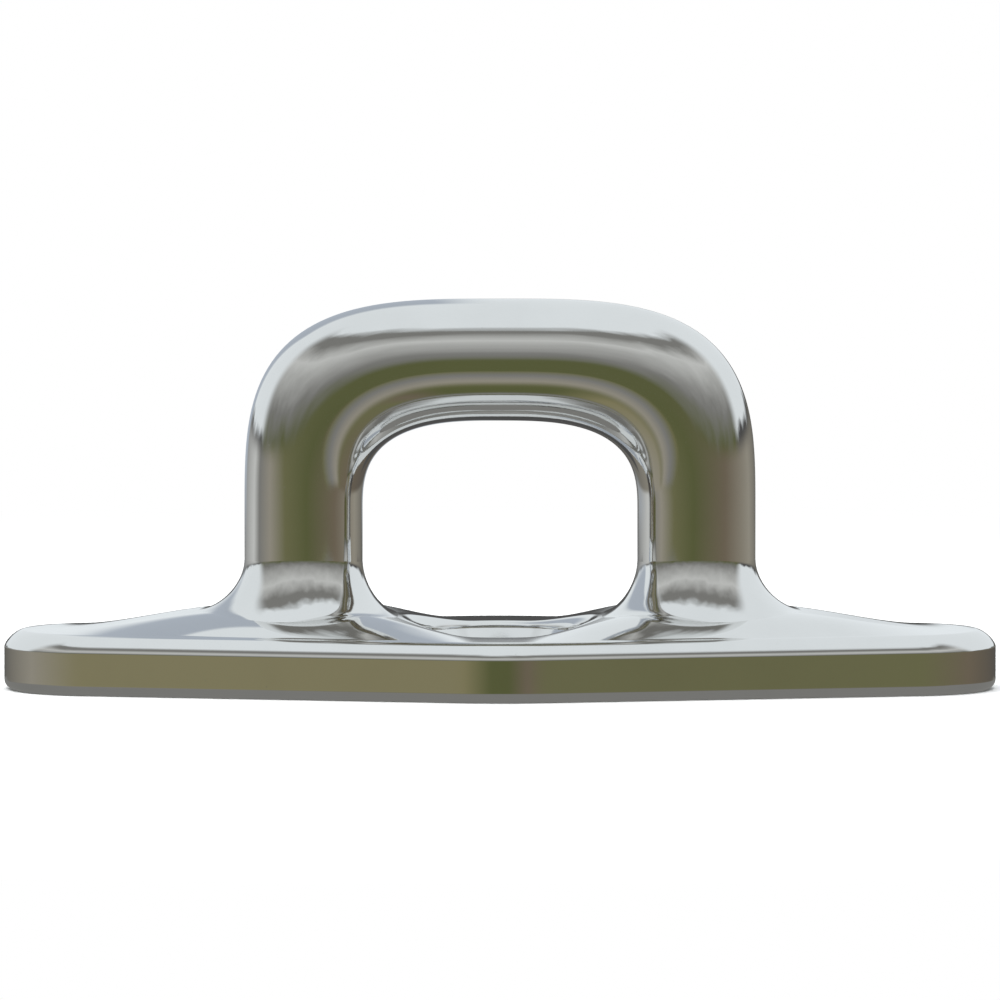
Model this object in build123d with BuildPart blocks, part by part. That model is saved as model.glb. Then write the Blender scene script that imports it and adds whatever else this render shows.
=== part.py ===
from build123d import *
import math
import os

os.makedirs("parts", exist_ok=True)

# A deck pad eye: a rounded-diamond foot plate, a cast round-bar bow standing on it, the dressed
# welds that join the two, and one countersunk hole for a screw under the bow.
# Millimetres. Z is up from the deck face of the plate, X runs along the plate and through both
# legs of the bow, and the origin is the middle of the plate's underside.

# Foot plate
PLATE_LENGTH = 100.0
PLATE_WIDTH = 36.0
PLATE_THICKNESS = 6.0
NOSE_RADIUS = 9.5
CORNER_RADIUS = 21.0
TOP_ROUND = 1.8
BOTTOM_ROUND = 1.0

# Bow, drawn from the inner and the outer outline of the eye
LEG_RADIUS = 5.95
CROWN_RADIUS = 6.15
EYE_WIDTH = 27.7
EYE_TOP = 27.1
EYE_RISE = 9.1
INNER_POWER = 2.9
OUTER_POWER = 3.3
ARCH_STEPS = 9

# Raised land that carries the legs, and the hollow between them
LAND_RISE = 2.2
LAND_FLANK = 3.3
HOLLOW_RISE = 0.15
SKIRT_MARGIN = 9.0
SKIRT_RADIUS = 50.0

# Dressed welds
TOE_REACH = 2.65
THROAT_RADIUS = 5.0
ROOT_DEPTH = 1.5
LEG_CLEARANCE = 0.05

# Countersunk hole for an M8 screw
SCREW_HOLE_RADIUS = 4.5
SINK_RADIUS = 9.0
LIP_WALL = 0.8
LIP_ROUND = 0.75

LEG_X = EYE_WIDTH / 2 + LEG_RADIUS
EYE_SPRING = EYE_TOP - EYE_RISE
OUTER_RISE = EYE_RISE + 2 * CROWN_RADIUS
LAND_TOP = PLATE_THICKNESS + LAND_RISE
HOLLOW_FLOOR = PLATE_THICKNESS + HOLLOW_RISE
TOE_RADIUS = LEG_RADIUS + TOE_REACH
TOE_X = LEG_X - TOE_RADIUS
SKIRT_X = PLATE_LENGTH / 2 - SKIRT_MARGIN
SINK_TOP = HOLLOW_FLOOR - LIP_WALL
SINK_FOOT = SINK_TOP - (SINK_RADIUS - SCREW_HOLE_RADIUS)
SIDES = {"left": -1, "right": 1}


def plan_outline(inset):
    """Rounded diamond seen from above, inset from the edge of the plate."""
    nose_x = PLATE_LENGTH / 2 - NOSE_RADIUS
    corner_y = PLATE_WIDTH / 2 - CORNER_RADIUS
    reach = math.hypot(nose_x, corner_y)
    lean = math.asin((CORNER_RADIUS - NOSE_RADIUS) / reach) + math.atan2(corner_y, nose_x)
    outward = Vector(math.sin(lean), math.cos(lean))
    nose_end = Vector(nose_x, 0) + outward * (NOSE_RADIUS - inset)
    corner_end = Vector(0, corner_y) + outward * (CORNER_RADIUS - inset)
    with BuildSketch(mode=Mode.PRIVATE) as outline:
        with BuildLine():
            CenterArc((nose_x, 0), NOSE_RADIUS - inset, 0, 90 - math.degrees(lean))
            Line(nose_end, corner_end)
            CenterArc((0, corner_y), CORNER_RADIUS - inset, 90 - math.degrees(lean), math.degrees(lean))
            mirror(about=Plane.YZ)
            mirror(about=Plane.XZ)
        make_face()
    return outline.sketch


def eye_reach(angle, half_span, rise, power):
    """Distance from the middle of the eye to a squared-off oval, at an angle above level."""
    across = math.cos(angle) / half_span
    upward = math.sin(angle) / rise
    return (across**power + upward**power) ** (-1 / power)


def arch_section(angle):
    """Plane and radial half-thickness of the arch, at an angle round the middle of the eye."""
    inner = eye_reach(angle, EYE_WIDTH / 2, EYE_RISE, INNER_POWER)
    outer = eye_reach(angle, EYE_WIDTH / 2 + 2 * LEG_RADIUS, OUTER_RISE, OUTER_POWER)
    ray = Vector(math.cos(angle), 0, math.sin(angle))
    centre = Vector(0, 0, EYE_SPRING) + ray * ((inner + outer) / 2)
    plane = Plane(origin=centre, x_dir=ray, z_dir=ray.cross(Vector(0, 1, 0)))
    return plane, max((outer - inner) / 2, LEG_RADIUS)


def is_sink_wall(face):
    """Whether a round face is the upright wall at the top of the countersink."""
    return math.isclose(face.radius, SINK_RADIUS, rel_tol=1e-6)


# The raised land: flat round each leg, hollow between them, running out towards the noses.
with BuildPart() as land:
    with BuildSketch(Plane.XY.offset(PLATE_THICKNESS)):
        add(plan_outline(TOP_ROUND))
    extrude(amount=LAND_RISE, taper=math.degrees(math.atan2(LAND_FLANK, LAND_RISE)))
    with BuildSketch(Plane.XZ):
        with BuildLine():
            hollow = ThreePointArc((-TOE_X, LAND_TOP), (0, HOLLOW_FLOOR), (TOE_X, LAND_TOP))
            level = Line(hollow @ 1, (LEG_X + TOE_RADIUS, LAND_TOP))
            skirt = RadiusArc(level @ 1, (SKIRT_X, PLATE_THICKNESS), SKIRT_RADIUS)
            mirror(level, about=Plane.YZ)
            mirror(skirt, about=Plane.YZ)
            Line((-SKIRT_X, PLATE_THICKNESS), (SKIRT_X, PLATE_THICKNESS))
        make_face()
    extrude(amount=PLATE_WIDTH, both=True, mode=Mode.INTERSECT)

with BuildPart() as base_plate:
    with BuildSketch():
        add(plan_outline(0))
    extrude(amount=PLATE_THICKNESS)
    fillet(base_plate.edges().group_by(Axis.Z)[-1], TOP_ROUND)
    fillet(base_plate.edges().group_by(Axis.Z)[0], BOTTOM_ROUND)
    add(land.part)
    with BuildSketch(Plane.XZ):
        with BuildLine():
            Polyline(
                (0, 0),
                (SCREW_HOLE_RADIUS, 0),
                (SCREW_HOLE_RADIUS, SINK_FOOT),
                (SINK_RADIUS, SINK_TOP),
                (SINK_RADIUS, LAND_TOP),
                (0, LAND_TOP),
                close=True,
            )
        make_face()
    revolve(axis=Axis.Z, mode=Mode.SUBTRACT)
    sink_wall = base_plate.faces().filter_by(GeomType.CYLINDER).filter_by(is_sink_wall)[0]
    fillet(sink_wall.edges().filter_by(Plane.XY, reverse=True), LIP_ROUND)
    with Locations((-LEG_X, 0, LAND_TOP), (LEG_X, 0, LAND_TOP)):
        Hole(LEG_RADIUS + LEG_CLEARANCE, depth=LAND_TOP)
base_plate.part.label = "base_plate"
export_step(base_plate.part, "parts/base_plate.step")

# The bow: straight legs down into the plate, and an arch that is thicker through its shoulders.
with BuildPart() as bow:
    for step in range(ARCH_STEPS + 1):
        plane, half_thickness = arch_section(math.pi / 2 * step / ARCH_STEPS)
        with BuildSketch(plane):
            Ellipse(half_thickness, LEG_RADIUS)
    loft()
    with BuildSketch(Plane.XY.offset(ROOT_DEPTH)):
        with Locations((LEG_X, 0)):
            Circle(LEG_RADIUS)
    extrude(amount=EYE_SPRING - ROOT_DEPTH)
    mirror(about=Plane.YZ)
bow.part.label = "bow"
export_step(bow.part, "parts/bow.step")

# A dressed collar of weld round each leg, and a plug of weld under each leg, ground flush.
for side, sign in SIDES.items():
    leg_foot = Location((sign * LEG_X, 0, 0))
    with BuildPart() as foot_weld:
        with BuildSketch(Plane.XZ):
            with BuildLine():
                centre_drop = math.sqrt(THROAT_RADIUS**2 - (THROAT_RADIUS - TOE_REACH) ** 2)
                throat_top = (LEG_RADIUS, LAND_TOP + centre_drop)
                throat_toe = (TOE_RADIUS, LAND_TOP)
                RadiusArc(throat_top, throat_toe, -THROAT_RADIUS)
                Polyline(throat_toe, (LEG_RADIUS, LAND_TOP), throat_top)
            make_face()
        revolve(axis=Axis.Z)
    foot_weld.part.locate(leg_foot)
    foot_weld.part.label = f"{side}_foot_weld"
    export_step(foot_weld.part, f"parts/{side}_foot_weld.step")

    with BuildPart() as root_weld:
        with BuildSketch():
            Circle(LEG_RADIUS + LEG_CLEARANCE)
        extrude(amount=ROOT_DEPTH)
    root_weld.part.locate(leg_foot)
    root_weld.part.label = f"{side}_root_weld"
    export_step(root_weld.part, f"parts/{side}_root_weld.step")
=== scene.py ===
# %% [markdown]
# # A polished deck pad eye
# The fitting is a rounded-diamond foot plate with a round-bar bow standing on it, two dressed
# welds at its feet and one countersunk screw hole under the bow. All of it is mirror-polished
# stainless steel, so its look is made by smooth surfaces and by what they reflect.
# The imported model gives every size. We load it first and keep its outer box to print at the end.

# %% Load the imported model
import bpy
import math
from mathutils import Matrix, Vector


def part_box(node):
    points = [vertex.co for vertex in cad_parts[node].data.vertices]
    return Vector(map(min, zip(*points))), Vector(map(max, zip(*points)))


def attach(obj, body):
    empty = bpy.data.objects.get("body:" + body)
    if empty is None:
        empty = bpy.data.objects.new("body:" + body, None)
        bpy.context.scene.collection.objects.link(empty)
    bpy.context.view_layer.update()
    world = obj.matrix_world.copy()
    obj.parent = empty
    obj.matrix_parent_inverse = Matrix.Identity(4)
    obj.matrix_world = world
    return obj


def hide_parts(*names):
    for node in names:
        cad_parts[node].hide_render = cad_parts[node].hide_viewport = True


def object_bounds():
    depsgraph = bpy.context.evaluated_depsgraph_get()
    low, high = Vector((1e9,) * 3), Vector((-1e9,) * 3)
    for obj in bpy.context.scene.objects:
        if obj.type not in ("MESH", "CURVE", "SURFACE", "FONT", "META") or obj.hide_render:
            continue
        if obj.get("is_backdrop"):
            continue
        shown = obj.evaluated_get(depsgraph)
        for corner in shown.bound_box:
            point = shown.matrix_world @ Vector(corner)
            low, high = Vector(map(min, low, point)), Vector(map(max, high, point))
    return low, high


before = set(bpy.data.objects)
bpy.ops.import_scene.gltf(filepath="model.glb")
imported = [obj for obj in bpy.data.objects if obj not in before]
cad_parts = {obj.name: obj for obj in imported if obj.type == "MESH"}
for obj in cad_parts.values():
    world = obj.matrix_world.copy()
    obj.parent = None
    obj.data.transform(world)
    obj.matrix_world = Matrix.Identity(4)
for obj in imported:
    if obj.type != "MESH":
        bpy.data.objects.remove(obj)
cad_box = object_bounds()
MM = 0.001
print("nodes:", sorted(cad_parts))

# %% [markdown]
# ## Sizes read from the model
# Each surface below hangs on a few lengths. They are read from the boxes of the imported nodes,
# so the visual pieces land where the solid ones are: half the plate, the axes of the legs, the
# bar's radius, and the level of the land that carries the legs.

# %% Read the sizes
_, plate_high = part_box("base_plate")
bow_low, bow_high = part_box("bow")
weld_low, weld_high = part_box("right_foot_weld")

HALF_LENGTH = plate_high.x
HALF_WIDTH = plate_high.y
LAND_TOP = plate_high.z
BAR_RADIUS = bow_high.y
LEG_AXIS = (weld_low.x + weld_high.x) / 2
BOW_TOP = bow_high.z
ROOT_LEVEL = bow_low.z
print(f"plate {2 * HALF_LENGTH / MM:.1f} x {2 * HALF_WIDTH / MM:.1f} mm, land at {LAND_TOP / MM:.1f} mm")
print(f"bar {2 * BAR_RADIUS / MM:.1f} mm, legs {2 * LEG_AXIS / MM:.1f} mm apart")
print(f"top {BOW_TOP / MM:.1f} mm")

# %% [markdown]
# ## Helpers for work in edit mode
# An operator acts on everything that is selected, and the loaded nodes are still selected. So a
# new piece starts with a clean selection. `grow` extrudes the selected loop and puts each new
# point where a rule says, which is what a modeller does by extruding a ring, scaling it and
# nudging its points on to a guide.

# %% Helpers for edit mode
def start_ring(name, points, radius, level, centre=(0, 0)):
    """Add a circle of points at its size and place, in edit mode, with only its edge."""
    bpy.ops.object.select_all(action="DESELECT")
    bpy.ops.mesh.primitive_circle_add(
        vertices=points, radius=radius, location=(centre[0], centre[1], level)
    )
    piece = bpy.context.object
    piece.name = name
    bpy.ops.object.transform_apply(location=True, rotation=True, scale=True)
    bpy.ops.object.mode_set(mode="EDIT")
    bpy.ops.mesh.select_mode(type="VERT")
    bpy.ops.mesh.select_all(action="SELECT")
    return piece


def place(piece, rule):
    """Put each selected point where the rule says. The rule is given the point's own place."""
    bpy.ops.object.mode_set(mode="OBJECT")
    for point in piece.data.vertices:
        if point.select:
            point.co = rule(point.co)
    bpy.ops.object.mode_set(mode="EDIT")


def grow(piece, rule):
    """Extrude the selected loop by one ring of faces and place the new loop."""
    bpy.ops.mesh.extrude_edges_move()
    place(piece, rule)


def close_and_turn_out():
    """Weld the first and last loops together and point all faces outwards."""
    bpy.ops.mesh.select_all(action="SELECT")
    bpy.ops.mesh.remove_doubles(threshold=0.0005 * MM)
    bpy.ops.mesh.normals_make_consistent(inside=False)
    bpy.ops.object.mode_set(mode="OBJECT")


def report(piece):
    """Say how large the finished piece is."""
    faces = len(piece.data.polygons)
    size = [f"{v / MM:.2f}" for v in piece.dimensions]
    print(piece.name, faces, "faces,", " x ".join(size), "mm")


# %% [markdown]
# ## The plan of the foot plate
# Seen from above the plate is a diamond with its four corners rounded, tightly at the two noses
# and wide at the front and back. Every ring of the plate's mesh is a copy of that outline, moved
# inwards by some inset. A ray from the middle of the screw hole meets each copy once, so one
# function gives the distance along the ray, and the rings of the mesh stay in line.

# %% Draw the plan
NOSE_RADIUS = 9.5 * MM
CORNER_RADIUS = 21.0 * MM
nose_x = HALF_LENGTH - NOSE_RADIUS
corner_y = HALF_WIDTH - CORNER_RADIUS
lean = math.asin((CORNER_RADIUS - NOSE_RADIUS) / math.hypot(nose_x, corner_y))
lean += math.atan2(corner_y, nose_x)
edge_offset = CORNER_RADIUS + corner_y * math.cos(lean)


def plan_reach(angle, inset):
    """Distance from the middle to the plate's outline, moved inwards by the inset."""
    c, s = abs(math.cos(angle)), abs(math.sin(angle))
    nose, corner = NOSE_RADIUS - inset, CORNER_RADIUS - inset
    ray = math.atan2(s, c)
    nose_end = math.atan2(math.cos(lean) * nose, nose_x + math.sin(lean) * nose)
    corner_end = math.atan2(corner_y + math.cos(lean) * corner, math.sin(lean) * corner)
    if ray < nose_end:
        return nose_x * c + math.sqrt(nose**2 - (nose_x * s) ** 2)
    if ray > corner_end:
        return corner_y * s + math.sqrt(corner**2 - (corner_y * c) ** 2)
    return (edge_offset - inset) / (math.sin(lean) * c + math.cos(lean) * s)


def half_width(x, inset):
    """Half the width of the inset outline at a place along the plate."""
    x = abs(x)
    nose, corner = NOSE_RADIUS - inset, CORNER_RADIUS - inset
    if x > nose_x + math.sin(lean) * nose:
        return math.sqrt(max(nose**2 - (x - nose_x) ** 2, 0.0))
    if x < math.sin(lean) * corner:
        return corner_y + math.sqrt(corner**2 - x**2)
    return (edge_offset - inset - x * math.sin(lean)) / math.cos(lean)


print("straight edges lean", round(math.degrees(lean), 2), "degrees")

# %% [markdown]
# ## The swell of the plate
# The top isn't flat. It swells up to carry the legs, dips between them for the screw, and runs
# out to the level edge of the plate at the noses. Two soft steps make the crest along the
# middle: one lifts it out of the dip, and one lets it down towards the nose. Across the plate
# the height falls to nothing at the edge, on a rounded flank that is steepest where it meets
# the shoulder.

# %% Shape the swell
EDGE_LEVEL = 6.0 * MM
SHOULDER_INSET = 1.9 * MM
FLANK = 6.5 * MM
LAND_RISE = LAND_TOP - EDGE_LEVEL
DIP_START, DIP_LENGTH = 2.5 * MM, 13.0 * MM
FALL_START, FALL_LENGTH = 25.5 * MM, 20.5 * MM


def smooth_step(value):
    """Go softly from 0 to 1."""
    value = min(max(value, 0.0), 1.0)
    return value * value * (3 - 2 * value)


def crest_height(x):
    """Height of the swell on the middle line: up out of the dip, level, then down to the nose."""
    rise = smooth_step((abs(x) - DIP_START) / DIP_LENGTH)
    fall = smooth_step((abs(x) - FALL_START) / FALL_LENGTH)
    return LAND_RISE * rise * (1 - fall)


def plate_top(x, y):
    """Level of the plate's top surface, inside the shoulder."""
    inward = max(half_width(x, SHOULDER_INSET) - abs(y), 0.0)
    left_to_rise = max(1 - inward / FLANK, 0.0)
    return EDGE_LEVEL + crest_height(x) * (1 - left_to_rise**2)


print("swell at the legs", round((plate_top(LEG_AXIS, 0) - EDGE_LEVEL) / MM, 2), "mm")

# %% [markdown]
# ## The foot plate
# The real plate is ground to shape, and the screw's seat is cut in it. A block with a boolean
# cut would leave long thin faces round the hole, and they would show as kinks in a mirror
# finish. So the plate is grown as one skin of rings instead: up the bore, out over the seat and
# its soft lip, across the swell, over the shoulder, down the side, and back underneath. All
# faces stay four-sided and in line. The two leg holes are cut last, where the welds cover them.

# %% Grow the plate from the bore
PLATE_POINTS = 384
BORE_RADIUS = 4.5 * MM
SEAT_RADIUS = 9.0 * MM
SEAT_FOOT = 0.85 * MM
SEAT_TOP = 5.35 * MM
LIP = 1.2 * MM
RIM = SEAT_RADIUS + LIP
SEAT_STEPS = 6
LIP_STEPS = 8
ROUND_STEPS = 8
TOP_RINGS = 40
TOP_CROWDING = 0.9
SHOULDER_DROP = 1.7 * MM
SHOULDER_POWER = 1.45
FOOT_ROUND = 1.0 * MM
HOLD = 0.03 * MM


def spread(co):
    """Turn a point of the even ring so that points crowd together at the noses."""
    turn = math.atan2(co.y, co.x)
    ray = math.atan2(HALF_WIDTH * math.sin(turn), HALF_LENGTH * math.cos(turn))
    return Vector((BORE_RADIUS * math.cos(ray), BORE_RADIUS * math.sin(ray), co.z))


def round_ring(radius, level):
    """Rule for a round ring at one level."""
    def rule(co):
        ray = math.atan2(co.y, co.x)
        return Vector((radius * math.cos(ray), radius * math.sin(ray), level))
    return rule


def lip_ring(turn):
    """Rule for a ring on the rounded lip of the seat, at an angle up from its wall."""
    def rule(co):
        ray = math.atan2(co.y, co.x)
        rim_x, rim_y = RIM * math.cos(ray), RIM * math.sin(ray)
        radius = RIM - LIP * math.cos(turn)
        level = plate_top(rim_x, rim_y) - LIP * (1 - math.sin(turn))
        return Vector((radius * math.cos(ray), radius * math.sin(ray), level))
    return rule


def top_ring(share):
    """Rule for a ring on the swell, a share of the way from the lip to the shoulder."""
    def rule(co):
        ray = math.atan2(co.y, co.x)
        radius = RIM + (plan_reach(ray, SHOULDER_INSET) - RIM) * share
        x, y = radius * math.cos(ray), radius * math.sin(ray)
        return Vector((x, y, plate_top(x, y)))
    return rule


def edge_ring(inset, level):
    """Rule for a ring that follows the plan at one inset and one level."""
    def rule(co):
        ray = math.atan2(co.y, co.x)
        radius = plan_reach(ray, inset)
        return Vector((radius * math.cos(ray), radius * math.sin(ray), level))
    return rule


def under_ring(share):
    """Rule for a ring on the flat underside, a share of the way out from the bore."""
    def rule(co):
        ray = math.atan2(co.y, co.x)
        radius = BORE_RADIUS + (plan_reach(ray, FOOT_ROUND) - BORE_RADIUS) * share
        return Vector((radius * math.cos(ray), radius * math.sin(ray), 0.0))
    return rule


plate = start_ring("foot_plate", PLATE_POINTS, BORE_RADIUS, 0.0)
place(plate, spread)
grow(plate, round_ring(BORE_RADIUS, SEAT_FOOT))
for step in range(1, SEAT_STEPS + 1):
    part_way = step / SEAT_STEPS
    radius = BORE_RADIUS + (SEAT_RADIUS - BORE_RADIUS) * part_way
    grow(plate, round_ring(radius, SEAT_FOOT + (SEAT_TOP - SEAT_FOOT) * part_way))
for step in range(LIP_STEPS + 1):
    grow(plate, lip_ring(math.pi / 2 * step / LIP_STEPS))
for step in range(1, TOP_RINGS + 1):
    grow(plate, top_ring((step / TOP_RINGS) ** TOP_CROWDING))
print("top surface grown")

# %% [markdown]
# The shoulder is more of a softened chamfer than a quarter round: it leaves the top at a clear
# line, falls at about 45 degrees, and turns down into the side over a short length. A
# superellipse with a power a little under one and a half has just that shape. A holding ring
# just below it keeps the tilt of the shoulder out of the shading of the upright side.

# %% Grow the shoulder, the side and the underside
SHOULDER_STEPS = 14
for step in range(1, SHOULDER_STEPS + 1):
    turn = math.pi / 2 * step / SHOULDER_STEPS
    fall = math.cos(turn) ** (2 / SHOULDER_POWER)
    reach = math.sin(turn) ** (2 / SHOULDER_POWER)
    grow(plate, edge_ring(SHOULDER_INSET * (1 - reach), EDGE_LEVEL - SHOULDER_DROP * (1 - fall)))
SIDE_TOP = EDGE_LEVEL - SHOULDER_DROP
for level in (SIDE_TOP - HOLD, 3.2 * MM, 2.1 * MM, FOOT_ROUND + HOLD, FOOT_ROUND):
    grow(plate, edge_ring(0, level))
for step in range(1, ROUND_STEPS + 1):
    turn = math.pi / 2 * step / ROUND_STEPS
    grow(plate, edge_ring(FOOT_ROUND * (1 - math.cos(turn)), FOOT_ROUND * (1 - math.sin(turn))))
for share in (0.6, 0.3, 0.0):
    grow(plate, under_ring(share))
close_and_turn_out()
report(plate)

# %% Cut the two leg holes
DRILL_POINTS = 96
LEG_CLEARANCE = 0.05 * MM
for side in (-1, 1):
    bpy.ops.object.select_all(action="DESELECT")
    bpy.ops.mesh.primitive_cylinder_add(
        vertices=DRILL_POINTS, radius=BAR_RADIUS + LEG_CLEARANCE, depth=4 * LAND_TOP,
        location=(side * LEG_AXIS, 0, 0),
    )
    drill = bpy.context.object
    bpy.context.view_layer.objects.active = plate
    cut = plate.modifiers.new("leg_hole", "BOOLEAN")
    cut.operation = "DIFFERENCE"
    cut.object = drill
    cut.solver = "EXACT"
    bpy.ops.object.modifier_apply(modifier=cut.name)
    bpy.data.objects.remove(drill)
report(plate)

# %% [markdown]
# ## The bow
# The bow is one bar: straight up from each foot, then over the top in a squared-off arch whose
# shoulders are thicker than its legs. A swept curve keeps one section all the way, so it
# couldn't thicken. Here the right half is made as a modeller bends a tube: a circle is
# extruded up the leg, then a step at a time round the arch, and at each step the loop is laid
# between the inner and the outer line of the eye. A mirror modifier makes the left half.

# %% Lines of the eye
EYE_HALF = LEG_AXIS - BAR_RADIUS
EYE_SPRING = 18.0 * MM
EYE_RISE = 9.1 * MM
INNER_POWER = 2.9
OUTER_POWER = 3.3


def eye_line(angle, half_span, rise, power):
    """Distance from the middle of the eye to a squared-off oval."""
    across = max(math.cos(angle), 0.0) / half_span
    upward = math.sin(angle) / rise
    return (across**power + upward**power) ** (-1 / power)


def leg_section(level):
    """Middle, direction and half thickness of the bar on the straight leg."""
    return Vector((LEG_AXIS, 0, level)), Vector((1, 0, 0)), BAR_RADIUS


def arch_section(angle):
    """The same three on the arch, at an angle round the middle of the eye."""
    inner = eye_line(angle, EYE_HALF, EYE_RISE, INNER_POWER)
    outer = eye_line(angle, EYE_HALF + 2 * BAR_RADIUS, BOW_TOP - EYE_SPRING, OUTER_POWER)
    ray = Vector((max(math.cos(angle), 0.0), 0, math.sin(angle)))
    middle = Vector((0, 0, EYE_SPRING)) + ray * (outer + inner) / 2
    return middle, ray, max((outer - inner) / 2, BAR_RADIUS)


def carry(before, after):
    """Rule that carries a loop from one section of the bar to the next."""
    def rule(co):
        along = (co - before[0]).dot(before[1]) / before[2]
        return after[0] + after[1] * (along * after[2]) + Vector((0, co.y, 0))
    return rule


print("eye", round(2 * EYE_HALF / MM, 2), "mm wide inside")

# %% Grow one half of the bow and mirror it
BAR_POINTS = 96
ARCH_STEPS = 60
bow = start_ring("round_bow", BAR_POINTS, BAR_RADIUS, ROOT_LEVEL, (LEG_AXIS, 0))
bpy.ops.mesh.edge_face_add()
bpy.ops.mesh.select_all(action="SELECT")
section = leg_section(ROOT_LEVEL)
for level in (4.0, 7.0, 10.0, 12.0, 14.0, 16.0, 17.0, 18.0):
    following = leg_section(level * MM)
    grow(bow, carry(section, following))
    section = following
for step in range(1, ARCH_STEPS + 1):
    following = arch_section(math.pi / 2 * step / ARCH_STEPS)
    grow(bow, carry(section, following))
    section = following
bpy.ops.object.mode_set(mode="OBJECT")
half = bow.modifiers.new("left_half", "MIRROR")
half.use_axis = (True, False, False)
half.merge_threshold = 0.001 * MM
bpy.ops.object.modifier_apply(modifier=half.name)
bpy.ops.object.mode_set(mode="EDIT")
close_and_turn_out()
report(bow)

# %% [markdown]
# ## The dressed welds
# Each leg flares into the plate. The flare is the weld, ground hollow and polished until no
# bead shows. It leaves the leg upright and runs out level on the swell, so it has no edge. We
# make one closed collar: a ring on the leg, extruded outwards along a hollow curve that is
# measured above the swell, then tucked under the surface and back. The second is a mirrored copy.

# %% Grow one collar and mirror it
WELD_POINTS = 128
WELD_HEIGHT = 4.8 * MM
FRONT_EXTRA = 0.4 * MM
WELD_REACH = 4.6 * MM
FRONT_REACH = 3.3 * MM
WELD_POWER = 1.8
FRONT_SHARPER = 0.35
WELD_PROUD = 0.012 * MM
WELD_STEPS = 26
WELD_CROWDING = 1.9
SEAT_GAP = 0.1 * MM
SEAT_SIDE_POWER = 10
TUCK = 0.25 * MM


def weld_reach(turn):
    """How far the flare runs out, less on the side of the screw's seat."""
    toward_seat = max(-math.cos(turn), 0.0)
    room = LEG_AXIS - BAR_RADIUS - RIM - SEAT_GAP
    reach = WELD_REACH + (FRONT_REACH - WELD_REACH) * math.sin(turn) ** 2
    return reach + (room - reach) * toward_seat**SEAT_SIDE_POWER


def flare_height(turn):
    """Height of the flare, a little more at the front and back of the leg."""
    return WELD_HEIGHT + FRONT_EXTRA * math.sin(turn) ** 2


def flare_ring(share):
    """Rule for a ring on the hollow curve of the flare, a share of the way out."""
    def rule(co):
        turn = math.atan2(co.y, co.x - LEG_AXIS)
        radius = BAR_RADIUS + WELD_PROUD + weld_reach(turn) * share
        x, y = LEG_AXIS + radius * math.cos(turn), radius * math.sin(turn)
        power = WELD_POWER - FRONT_SHARPER * math.sin(turn) ** 2
        rise = 1 - (1 - (1 - share) ** power) ** (1 / power)
        return Vector((x, y, plate_top(x, y) + flare_height(turn) * rise))
    return rule


def tucked_ring(gap, depth):
    """Rule for a ring below the swell, beyond the toe of the flare or inside the leg."""
    def rule(co):
        turn = math.atan2(co.y, co.x - LEG_AXIS)
        radius = BAR_RADIUS + (weld_reach(turn) if gap > 0 else 0) + gap
        x, y = LEG_AXIS + radius * math.cos(turn), radius * math.sin(turn)
        return Vector((x, y, plate_top(x, y) - depth))
    return rule


def hidden_top_ring(co):
    """Rule for the ring at the top of the flare, just inside the leg."""
    turn = math.atan2(co.y, co.x - LEG_AXIS)
    radius = BAR_RADIUS - TUCK
    x, y = LEG_AXIS + radius * math.cos(turn), radius * math.sin(turn)
    return Vector((x, y, plate_top(x, y) + flare_height(turn)))


right_weld = start_ring("right_flare", WELD_POINTS, BAR_RADIUS, LAND_TOP, (LEG_AXIS, 0))
place(right_weld, hidden_top_ring)
for step in range(WELD_STEPS + 1):
    grow(right_weld, flare_ring((step / WELD_STEPS) ** WELD_CROWDING))
grow(right_weld, tucked_ring(0.02 * MM, TUCK))
grow(right_weld, tucked_ring(-TUCK, TUCK))
grow(right_weld, hidden_top_ring)
close_and_turn_out()
report(right_weld)

bpy.ops.object.select_all(action="DESELECT")
right_weld.select_set(True)
bpy.context.view_layer.objects.active = right_weld
bpy.ops.object.duplicate()
left_weld = bpy.context.object
left_weld.name = "left_flare"
bpy.ops.object.mode_set(mode="EDIT")
bpy.ops.mesh.select_all(action="SELECT")
bpy.ops.transform.mirror(constraint_axis=(True, False, False), center_override=(0, 0, 0))
bpy.ops.mesh.normals_make_consistent(inside=False)
bpy.ops.object.mode_set(mode="OBJECT")
report(left_weld)

# %% [markdown]
# ## Shading, and what each piece stands for
# The skins are smooth except at the machined corners of the seat, so shading breaks only where
# two faces meet at more than a set angle. Each piece then rides on the one rigid body and
# replaces its solid node. The plugs of weld under the legs keep their own nodes.

# %% Smooth and declare
SHARP_ANGLE = math.radians(32)
for piece, node, finish in (
    (plate, "base_plate", "polished_plate"),
    (bow, "bow", "polished_bow"),
    (right_weld, "right_foot_weld", "dressed_weld"),
    (left_weld, "left_foot_weld", "dressed_weld"),
):
    bpy.ops.object.select_all(action="DESELECT")
    piece.select_set(True)
    bpy.context.view_layer.objects.active = piece
    bpy.ops.object.shade_smooth_by_angle(angle=SHARP_ANGLE)
    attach(piece, "root")
    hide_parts(node)
    print(piece.name, "stands for", node)

# %% [markdown]
# ## Effects that the finishes share
# Polished steel is never a perfect mirror. A buffing wheel leaves very fine lines, hands leave
# a faint haze, and here and there is a tiny pit. Each effect is a node group with its own values,
# so the plate, the bow and the welds can each have more or less of it. The groups only put out
# numbers and colours. The shader stays in each material.

# %% Helper for node groups
def effect(name, inputs, outputs):
    """Start a node group with number or vector sockets."""
    group = bpy.data.node_groups.new(name, "ShaderNodeTree")
    for label, kind, value in inputs:
        socket = group.interface.new_socket(name=label, in_out="INPUT", socket_type=kind)
        if value is not None:
            socket.default_value = value
    for label, kind in outputs:
        group.interface.new_socket(name=label, in_out="OUTPUT", socket_type=kind)
    return group, group.nodes.new("NodeGroupInput"), group.nodes.new("NodeGroupOutput")


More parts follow.
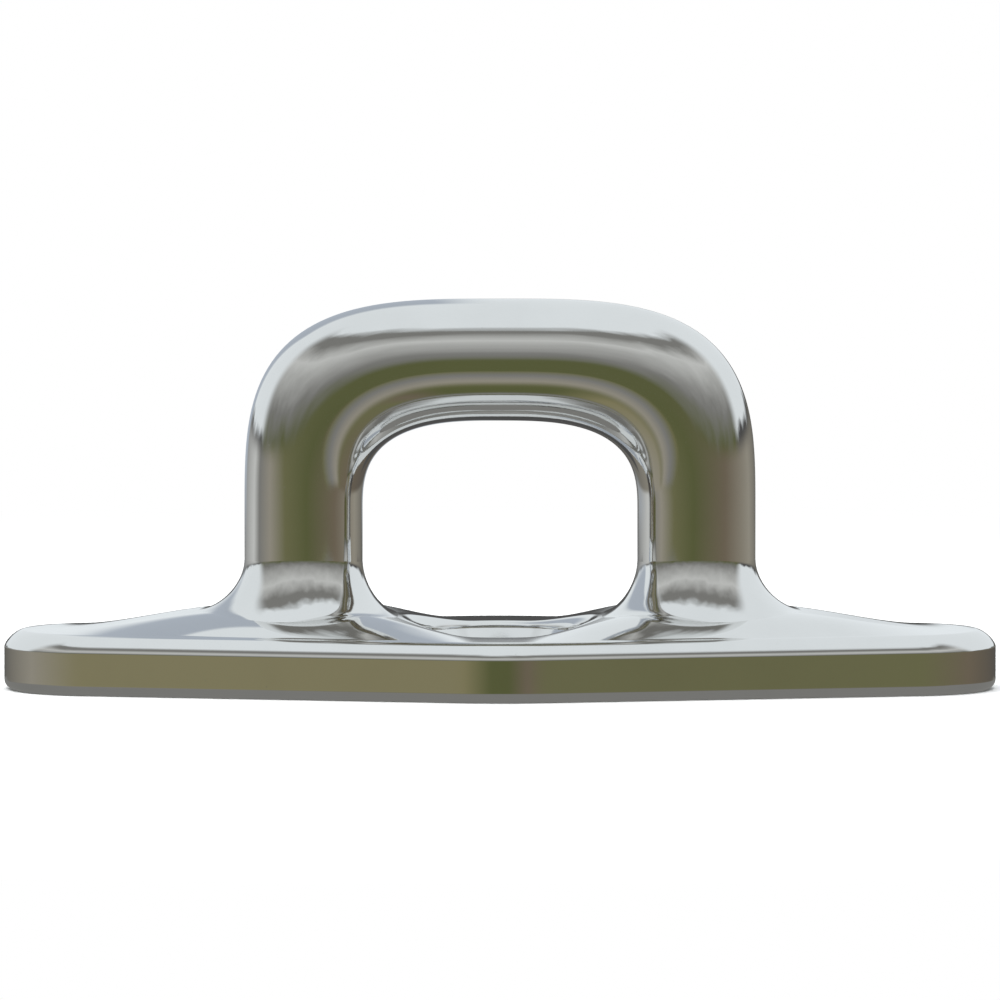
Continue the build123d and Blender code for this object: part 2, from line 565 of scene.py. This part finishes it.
def maths(tree, operation, first, second=None, third=None):
    """Add one Math node. Each operand is a number or a socket."""
    node = tree.nodes.new("ShaderNodeMath")
    node.operation = operation
    for socket, operand in zip(node.inputs, (first, second, third)):
        if operand is None:
            continue
        if isinstance(operand, (int, float)):
            socket.default_value = operand
        else:
            tree.links.new(operand, socket)
    return node.outputs[0]


NUMBER, VECTOR, COLOUR = "NodeSocketFloat", "NodeSocketVector", "NodeSocketColor"

# %% Buffing lines
lines, l_in, l_out = effect(
    "buffing_lines",
    [("Place", VECTOR, None), ("Stretch", VECTOR, (1, 1, 1)), ("Fineness", NUMBER, 1000.0)],
    [("Height", NUMBER), ("Streak", NUMBER)],
)
stretched = lines.nodes.new("ShaderNodeVectorMath")
stretched.operation = "MULTIPLY"
lines.links.new(l_in.outputs["Place"], stretched.inputs[0])
lines.links.new(l_in.outputs["Stretch"], stretched.inputs[1])
fine = lines.nodes.new("ShaderNodeTexNoise")
fine.inputs["Detail"].default_value = 3.0
fine.inputs["Roughness"].default_value = 0.6
lines.links.new(stretched.outputs[0], fine.inputs["Vector"])
lines.links.new(l_in.outputs["Fineness"], fine.inputs["Scale"])
lines.links.new(fine.outputs[0], l_out.inputs["Height"])
broad = lines.nodes.new("ShaderNodeTexNoise")
broad.inputs["Detail"].default_value = 2.0
lines.links.new(stretched.outputs[0], broad.inputs["Vector"])
lines.links.new(maths(lines, "MULTIPLY", l_in.outputs["Fineness"], 0.18), broad.inputs["Scale"])
lines.links.new(broad.outputs[0], l_out.inputs["Streak"])
print("group", lines.name)

# %% Handling haze
haze, h_in, h_out = effect(
    "handling_haze",
    [("Place", VECTOR, None), ("Size", NUMBER, 90.0), ("Amount", NUMBER, 0.02)],
    [("Roughness", NUMBER), ("Dullness", NUMBER)],
)
cloud = haze.nodes.new("ShaderNodeTexNoise")
cloud.inputs["Detail"].default_value = 5.0
cloud.inputs["Roughness"].default_value = 0.55
haze.links.new(h_in.outputs["Place"], cloud.inputs["Vector"])
haze.links.new(h_in.outputs["Size"], cloud.inputs["Scale"])
patchy = haze.nodes.new("ShaderNodeMapRange")
patchy.interpolation_type = "SMOOTHSTEP"
patchy.inputs["From Min"].default_value = 0.42
patchy.inputs["From Max"].default_value = 0.72
haze.links.new(cloud.outputs[0], patchy.inputs["Value"])
haze.links.new(patchy.outputs[0], h_out.inputs["Dullness"])
dulled = maths(haze, "MULTIPLY", patchy.outputs[0], h_in.outputs["Amount"])
haze.links.new(dulled, h_out.inputs["Roughness"])
print("group", haze.name)

# %% Tiny pits
pits, p_in, p_out = effect(
    "casting_pits",
    [("Place", VECTOR, None), ("Spacing", NUMBER, 420.0), ("Rarity", NUMBER, 0.03)],
    [("Pit", NUMBER)],
)
cells = pits.nodes.new("ShaderNodeTexVoronoi")
pits.links.new(p_in.outputs["Place"], cells.inputs["Vector"])
pits.links.new(p_in.outputs["Spacing"], cells.inputs["Scale"])
pits.links.new(
    maths(pits, "LESS_THAN", cells.outputs["Distance"], p_in.outputs["Rarity"]),
    p_out.inputs["Pit"],
)
print("group", pits.name)

# %% [markdown]
# ## The finishes
# All the steel is one metal: a slightly warm grey that reflects about four fifths of the light.
# What changes is the polish. The bow was buffed along the bar, the plate along its length, and
# the welds across, by hand. So the same three groups are placed with other values each time.

# %% Helper for a steel finish
HAZE_DIMS = 0.965
STREAK_ROUGHNESS = 0.03
PIT_ROUGHNESS = 0.2


def steel(name, tone, polish, stretch, fineness, line_depth, haze_amount, pit_depth):
    """Mirror-polished steel with buffing lines, haze and pits in it."""
    material = bpy.data.materials.new(name)
    material.use_nodes = True
    tree = material.node_tree
    shader = tree.nodes["Principled BSDF"]
    shader.inputs["Metallic"].default_value = 1.0
    place_of = tree.nodes.new("ShaderNodeTexCoord").outputs["Object"]

    def put(group):
        node = tree.nodes.new("ShaderNodeGroup")
        node.node_tree = group
        tree.links.new(place_of, node.inputs["Place"])
        return node

    buffed, hazy, pitted = put(lines), put(haze), put(pits)
    buffed.inputs["Stretch"].default_value = stretch
    buffed.inputs["Fineness"].default_value = fineness
    hazy.inputs["Amount"].default_value = haze_amount

    dull = tree.nodes.new("ShaderNodeMix")
    dull.data_type = "RGBA"
    dull.inputs["A"].default_value = (*tone, 1)
    dull.inputs["B"].default_value = (*(v * HAZE_DIMS for v in tone), 1)
    tree.links.new(hazy.outputs["Dullness"], dull.inputs["Factor"])
    tree.links.new(dull.outputs["Result"], shader.inputs["Base Color"])

    streaks = maths(tree, "MULTIPLY", buffed.outputs["Streak"], STREAK_ROUGHNESS)
    rough = maths(tree, "ADD", maths(tree, "ADD", hazy.outputs["Roughness"], streaks), polish)
    rough = maths(tree, "MULTIPLY_ADD", pitted.outputs["Pit"], PIT_ROUGHNESS, rough)
    tree.links.new(rough, shader.inputs["Roughness"])

    relief = maths(tree, "MULTIPLY_ADD", pitted.outputs["Pit"], -pit_depth, buffed.outputs["Height"])
    bump = tree.nodes.new("ShaderNodeBump")
    bump.inputs["Strength"].default_value = 1.0
    bump.inputs["Distance"].default_value = line_depth
    tree.links.new(relief, bump.inputs["Height"])
    tree.links.new(bump.outputs["Normal"], shader.inputs["Normal"])
    print("finish", name)
    return material


# %% Make and give the finishes
plate_steel = steel("plate_polish", (0.80, 0.80, 0.79), 0.03, (0.5, 1, 1), 4200, 9e-7, 0.03, 0.5)
bow_steel = steel("bow_polish", (0.81, 0.81, 0.80), 0.03, (1, 1, 0.6), 4200, 9e-7, 0.025, 0.5)
weld_steel = steel("weld_polish", (0.80, 0.80, 0.79), 0.04, (1, 0.6, 1), 3800, 5e-7, 0.04, 0.5)
root_steel = steel("root_grind", (0.66, 0.66, 0.65), 0.3, (0.05, 1, 1), 1500, 4e-6, 0.1, 0.6)
for piece, finish in (
    (plate, plate_steel), (bow, bow_steel), (right_weld, weld_steel), (left_weld, weld_steel),
):
    piece.data.materials.clear()
    piece.data.materials.append(finish)
for side in ("left", "right"):
    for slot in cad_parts[f"{side}_root_weld"].material_slots:
        slot.material = root_steel

# %% [markdown]
# ## The room
# A mirror finish shows the room, so the room is half of the look. It is a pale workshop: white
# overhead, a soft bright wall behind, and darker green-brown ground in front, lighter to the
# left. The eye of the camera sees only a plain pale backdrop and floor. Ten plain tones do for
# the whole room, because the curves of the steel draw everything else out of them.

# %% Colours of the room
CHARCOAL = (0.08, 0.08, 0.08, 1)
OLIVE = (0.11, 0.12, 0.05, 1)
MOSS = (0.16, 0.16, 0.08, 1)
KHAKI = (0.24, 0.22, 0.12, 1)
UMBER = (0.17, 0.14, 0.10, 1)
SLATE = (0.22, 0.22, 0.21, 1)
STONE = (0.32, 0.30, 0.25, 1)
MIST = (0.60, 0.61, 0.60, 1)
BLUE_GREY = (0.45, 0.50, 0.57, 1)
CLOUD = (0.82, 0.87, 0.90, 1)


def ramp(tree, factor, stops):
    """Add a colour ramp. Each stop is a place from 0 to 1 and a colour."""
    node = tree.nodes.new("ShaderNodeValToRGB")
    elements = node.color_ramp.elements
    elements[0].position, elements[0].color = stops[0]
    elements[1].position, elements[1].color = stops[-1]
    for position, colour in stops[1:-1]:
        elements.new(position).color = colour
    tree.links.new(factor, node.inputs["Fac"])
    return node.outputs["Color"]


def blend(tree, factor, first, second):
    """Mix two colours by a number."""
    node = tree.nodes.new("ShaderNodeMix")
    node.data_type = "RGBA"
    tree.links.new(factor, node.inputs["Factor"])
    tree.links.new(first, node.inputs["A"])
    tree.links.new(second, node.inputs["B"])
    return node.outputs["Result"]


def ease(tree, value, low, high):
    """A smooth step from 0 to 1 between two values."""
    node = tree.nodes.new("ShaderNodeMapRange")
    node.interpolation_type = "SMOOTHSTEP"
    node.inputs["From Min"].default_value = low
    node.inputs["From Max"].default_value = high
    tree.links.new(value, node.inputs["Value"])
    return node.outputs[0]


# %% The ground by direction
def ground_group(name, sides):
    """Ground whose colour changes with the bearing. Bearing 0 is the side in front."""
    group, g_in, g_out = effect(name, [("Way", VECTOR, None)], [("Colour", COLOUR)])
    way = group.nodes.new("ShaderNodeSeparateXYZ")
    group.links.new(g_in.outputs["Way"], way.inputs[0])
    toward = maths(group, "MULTIPLY", way.outputs["Y"], -1.0)
    bearing = maths(group, "ARCTAN2", way.outputs["X"], toward)
    round_about = maths(group, "MULTIPLY_ADD", bearing, 0.5 / math.pi, 0.5)
    ring = ramp(group, round_about, [(turn / 360 + 0.5, tone) for turn, tone in sides])
    group.links.new(ring, g_out.inputs["Colour"])
    print("group", name, "with", len(sides), "bearings")
    return group


FAR_SIDES = [
    (-180, CHARCOAL), (-110, MIST), (-95, SLATE), (-70, STONE), (-40, MOSS),
    (0, OLIVE), (60, UMBER), (120, STONE), (180, CHARCOAL),
]
NEAR_SIDES = [
    (-180, CHARCOAL), (-90, STONE), (-20, KHAKI), (-5, OLIVE), (5, OLIVE),
    (15, UMBER), (25, MOSS), (90, UMBER), (180, CHARCOAL),
]
far_group = ground_group("ground_far_off", FAR_SIDES)
near_group = ground_group("ground_close_by", NEAR_SIDES)

# %% The sky by direction
world = bpy.data.worlds.new("pale_workshop")
bpy.context.scene.world = world
world.use_nodes = True
tree = world.node_tree
look = tree.nodes.new("ShaderNodeTexCoord").outputs["Generated"]
split = tree.nodes.new("ShaderNodeSeparateXYZ")
tree.links.new(look, split.inputs[0])
height = maths(tree, "DIVIDE", maths(tree, "ARCSINE", split.outputs["Z"]), math.pi / 2)
ragged = tree.nodes.new("ShaderNodeTexNoise")
RAGGED = 0.16
ragged.inputs["Scale"].default_value = 5.0
ragged.inputs["Detail"].default_value = 3.0
tree.links.new(look, ragged.inputs["Vector"])
unevenness = maths(tree, "MULTIPLY_ADD", ragged.outputs[0], RAGGED, -RAGGED / 2)
height = maths(tree, "ADD", height, unevenness)
front_sky = ramp(tree, height, [
    (0.0, OLIVE), (0.15, SLATE), (0.45, MIST), (0.6, SLATE), (0.67, SLATE), (0.75, CLOUD),
])
back_sky = ramp(tree, height, [(0.03, CHARCOAL), (0.07, CLOUD)])
to_back = ease(tree, split.outputs["Y"], -0.12, 0.2)
sky = blend(tree, to_back, front_sky, back_sky)
grounds = []
for group in (near_group, far_group):
    node = tree.nodes.new("ShaderNodeGroup")
    node.node_tree = group
    tree.links.new(look, node.inputs["Way"])
    grounds.append(node.outputs["Colour"])
low_ground = blend(tree, ease(tree, split.outputs["Z"], -0.055, -0.03), *grounds)
room = blend(tree, ease(tree, split.outputs["Z"], -0.02, 0.08), low_ground, sky)
room_light = tree.nodes["Background"]
tree.links.new(room, room_light.inputs["Color"])
backdrop = tree.nodes.new("ShaderNodeBackground")
backdrop.inputs["Color"].default_value = (1, 1, 1, 1)
which = tree.nodes.new("ShaderNodeMixShader")
tree.links.new(tree.nodes.new("ShaderNodeLightPath").outputs["Is Camera Ray"], which.inputs[0])
tree.links.new(room_light.outputs[0], which.inputs[1])
tree.links.new(backdrop.outputs[0], which.inputs[2])
tree.links.new(which.outputs[0], tree.nodes["World Output"].inputs["Surface"])
print("world", world.name)

# %% [markdown]
# ## Floor and panel
# The floor is plain and pale to the eye. In the steel it shows as ground: grey against the
# part, open to the near ground of the room a little further out, and green-brown beyond. One
# grey-blue panel stands behind the left half, because the plate's left slopes see it and the
# bow hardly does. A low grey card in front is seen by the crown only,
# and a low dark step behind gives the far edge of the dip its dark line.

# %% Lay the floor
HEM_FROM, HEM_TO = 3 * MM, 8 * MM
FAR_FROM, FAR_TO = 100 * MM, 135 * MM
WHITE_FROM, WHITE_TO = 40 * MM, 220 * MM
bpy.ops.mesh.primitive_plane_add(size=3.0, location=(0, 0, -0.02 * MM))
floor = bpy.context.object
floor.name = "pale_floor"
floor_look = bpy.data.materials.new("floor_paper")
floor_look.use_nodes = True
tree = floor_look.node_tree
paper = tree.nodes["Principled BSDF"]
paper.inputs["Base Color"].default_value = (0.86, 0.86, 0.86, 1)
paper.inputs["Roughness"].default_value = 0.9
paper.inputs["Specular IOR Level"].default_value = 0.1
spot = tree.nodes.new("ShaderNodeTexCoord").outputs["Object"]
length = tree.nodes.new("ShaderNodeVectorMath")
length.operation = "LENGTH"
tree.links.new(spot, length.inputs[0])
far_ground = tree.nodes.new("ShaderNodeGroup")
far_ground.node_tree = far_group
tree.links.new(spot, far_ground.inputs["Way"])
near_split = tree.nodes.new("ShaderNodeSeparateXYZ")
tree.links.new(spot, near_split.inputs[0])
along = maths(tree, "ABSOLUTE", near_split.outputs["X"])
beyond_middle = maths(tree, "ABSOLUTE", near_split.outputs["Y"])
slant = maths(tree, "MULTIPLY_ADD", along, math.tan(lean), -HALF_WIDTH)
side_gap = maths(tree, "ADD", beyond_middle, slant)
end_gap = maths(tree, "ADD", along, -HALF_LENGTH)
gap = maths(tree, "MAXIMUM", side_gap, end_gap)
hem = tree.nodes.new("ShaderNodeRGB")
hem.outputs[0].default_value = SLATE
beside = ease(tree, gap, HEM_FROM, HEM_TO)
distant = ease(tree, length.outputs["Value"], FAR_FROM, FAR_TO)
shown = tree.nodes.new("ShaderNodeEmission")
ground_colour = blend(tree, beside, hem.outputs[0], far_ground.outputs["Colour"])
tree.links.new(ground_colour, shown.inputs["Color"])
clear = maths(tree, "MULTIPLY", beside, maths(tree, "SUBTRACT", 1.0, distant))
through = tree.nodes.new("ShaderNodeBsdfTransparent")
in_steel = tree.nodes.new("ShaderNodeMixShader")
tree.links.new(clear, in_steel.inputs[0])
tree.links.new(shown.outputs[0], in_steel.inputs[1])
tree.links.new(through.outputs[0], in_steel.inputs[2])
bright = tree.nodes.new("ShaderNodeEmission")
away_white = tree.nodes.new("ShaderNodeMixShader")
tree.links.new(ease(tree, length.outputs["Value"], WHITE_FROM, WHITE_TO), away_white.inputs[0])
tree.links.new(paper.outputs[0], away_white.inputs[1])
tree.links.new(bright.outputs[0], away_white.inputs[2])
either = tree.nodes.new("ShaderNodeMixShader")
tree.links.new(tree.nodes.new("ShaderNodeLightPath").outputs["Is Glossy Ray"], either.inputs[0])
tree.links.new(away_white.outputs[0], either.inputs[1])
tree.links.new(in_steel.outputs[0], either.inputs[2])
tree.links.new(either.outputs[0], tree.nodes["Material Output"].inputs["Surface"])
floor.data.materials.append(floor_look)
floor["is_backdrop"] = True

# %% Stand the panel and lay the card
SOFT_EDGE = 0.18
PANEL_SPAN = 50 * MM
BAND_FAR, BAND_NEAR = -95 * MM, -30 * MM


def glowing_sheet(name, low, high, colour_of):
    """Add a soft-edged sheet that only the steel sees. Its low and high corners are in mm."""
    low, high = Vector(low) * MM, Vector(high) * MM
    upright = low.y == high.y
    bpy.ops.mesh.primitive_plane_add(size=1.0, rotation=(math.pi / 2 if upright else 0, 0, 0))
    sheet = bpy.context.object
    sheet.name = name
    bpy.ops.object.transform_apply(location=True, rotation=True, scale=True)
    for point in sheet.data.vertices:
        point.co = Vector([low[k] if point.co[k] < 0 else high[k] for k in range(3)])
    material = bpy.data.materials.new(name + "_glow")
    material.use_nodes = True
    tree = material.node_tree
    glow = tree.nodes.new("ShaderNodeEmission")
    colour_of(tree, glow.inputs["Color"])
    across = tree.nodes.new("ShaderNodeSeparateXYZ")
    tree.links.new(tree.nodes.new("ShaderNodeTexCoord").outputs["Generated"], across.inputs[0])
    solid = 1.0
    for axis in ("X", "Z" if upright else "Y"):
        near_end = across.outputs[axis]
        margin = maths(tree, "MINIMUM", near_end, maths(tree, "SUBTRACT", 1.0, near_end))
        solid = maths(tree, "MULTIPLY", solid, ease(tree, margin, 0.0, SOFT_EDGE))
    soft = tree.nodes.new("ShaderNodeMixShader")
    tree.links.new(solid, soft.inputs[0])
    tree.links.new(tree.nodes.new("ShaderNodeBsdfTransparent").outputs[0], soft.inputs[1])
    tree.links.new(glow.outputs[0], soft.inputs[2])
    tree.links.new(soft.outputs[0], tree.nodes["Material Output"].inputs["Surface"])
    sheet.data.materials.append(material)
    sheet.visible_camera = False
    sheet.visible_diffuse = False
    sheet.visible_shadow = False
    sheet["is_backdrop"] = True
    return sheet


def grey_blue(tree, socket):
    """Grey-blue, fading to the white of the room near the middle of the part."""
    spot = tree.nodes.new("ShaderNodeTexCoord").outputs["Object"]
    split = tree.nodes.new("ShaderNodeSeparateXYZ")
    tree.links.new(spot, split.inputs[0])
    share = maths(tree, "MULTIPLY_ADD", split.outputs["X"], 1 / PANEL_SPAN, 1.0)
    tree.links.new(ramp(tree, share, [(0.85, BLUE_GREY), (1.0, CLOUD)]), socket)


def dark_grey(tree, socket):
    """One even dark grey."""
    socket.default_value = CHARCOAL


def banded_grey(tree, socket):
    """Grey bands across the card, brightest close to the plate."""
    spot = tree.nodes.new("ShaderNodeTexCoord").outputs["Object"]
    split = tree.nodes.new("ShaderNodeSeparateXYZ")
    tree.links.new(spot, split.inputs[0])
    from_far = maths(tree, "SUBTRACT", split.outputs["Y"], BAND_FAR)
    share = maths(tree, "DIVIDE", from_far, BAND_NEAR - BAND_FAR)
    bands = ramp(tree, share, [(0.0, MOSS), (0.5, SLATE), (0.8, STONE), (1.0, MOSS)])
    tree.links.new(bands, socket)


glowing_sheet("dark_step", (-20, 24, -4), (20, 24, 11), dark_grey)
glowing_sheet("grey_panel", (-50, 31, 10), (2, 31, 76), grey_blue)
glowing_sheet("grey_card", (-85, -102, 4.42), (85, -26, 4.42), banded_grey)
print("sheets placed")

# %% Hang the soft light
bpy.ops.object.light_add(type="AREA", location=(-0.15, -0.1, 0.6))
lamp = bpy.context.object
lamp.name = "soft_overhead"
lamp.data.shape = "SQUARE"
lamp.data.size = 0.8
lamp.data.energy = 7.0
lamp.visible_glossy = False
lamp.visible_camera = False
print("stage laid")

# %% [markdown]
# ## The camera
# The part is seen from far off through a long lens, almost level, so it keeps its true
# proportions. The camera stands a little under five degrees above the floor.

# %% Set the camera
VIEW_RISE = math.radians(4.7)
VIEW_DISTANCE = 4.0
VIEW_WIDTH = 0.1008
AIM = Vector((0, 0, 19.05 * MM))
bpy.ops.object.camera_add()
camera = bpy.context.object
camera.name = "long_lens"
camera.data.sensor_width = 36
camera.data.lens = 36 * VIEW_DISTANCE / VIEW_WIDTH
away = Vector((0, -math.cos(VIEW_RISE), math.sin(VIEW_RISE)))
camera.location = AIM + away * VIEW_DISTANCE
camera.rotation_euler = away.to_track_quat("Z", "Y").to_euler()
camera.data.clip_start, camera.data.clip_end = 0.05, 20
scene = bpy.context.scene
scene.camera = camera
scene.view_settings.view_transform = "Standard"
print("lens", round(camera.data.lens), "mm")

# %% [markdown]
# ## The two boxes
# The box of the visual model is printed beside the box of the imported one. The visual
# model has to stay inside the box of the imported one.

# %% Print the two boxes and finish
visual_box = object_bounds()
for name, box in (("cad", cad_box), ("visual", visual_box)):
    print(name, [[round(v / MM, 3) for v in corner] for corner in box])
